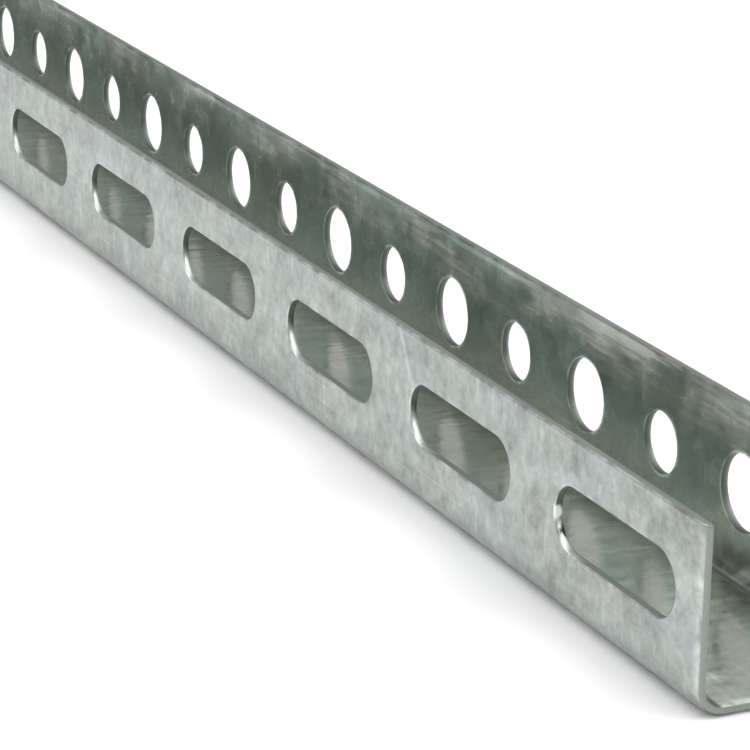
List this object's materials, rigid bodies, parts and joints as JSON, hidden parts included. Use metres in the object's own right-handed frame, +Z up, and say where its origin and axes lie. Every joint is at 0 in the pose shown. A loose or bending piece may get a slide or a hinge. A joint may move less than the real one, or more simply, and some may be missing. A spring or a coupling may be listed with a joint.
{
  "type": "cold-formed u-channel",
  "caption": "Straight galvanised steel U-channel, open side up, with round-ended slots in one flange and large and small round holes by turns in the other.",
  "frame": {"origin": "below the middle of the channel, on the underside of the web", "axes": "+X along the length to the front end, +Y from the slotted flange to the flange with round holes, +Z up out of the open side"},
  "size_m": [0.9144, 0.0254, 0.0222],
  "materials": {
    "zinc": "dull hot-dip galvanised sheet, mottled, light scratches"
  },
  "bodies": {
    "root": {"channel": "zinc"}
  },
  "joints": []
}
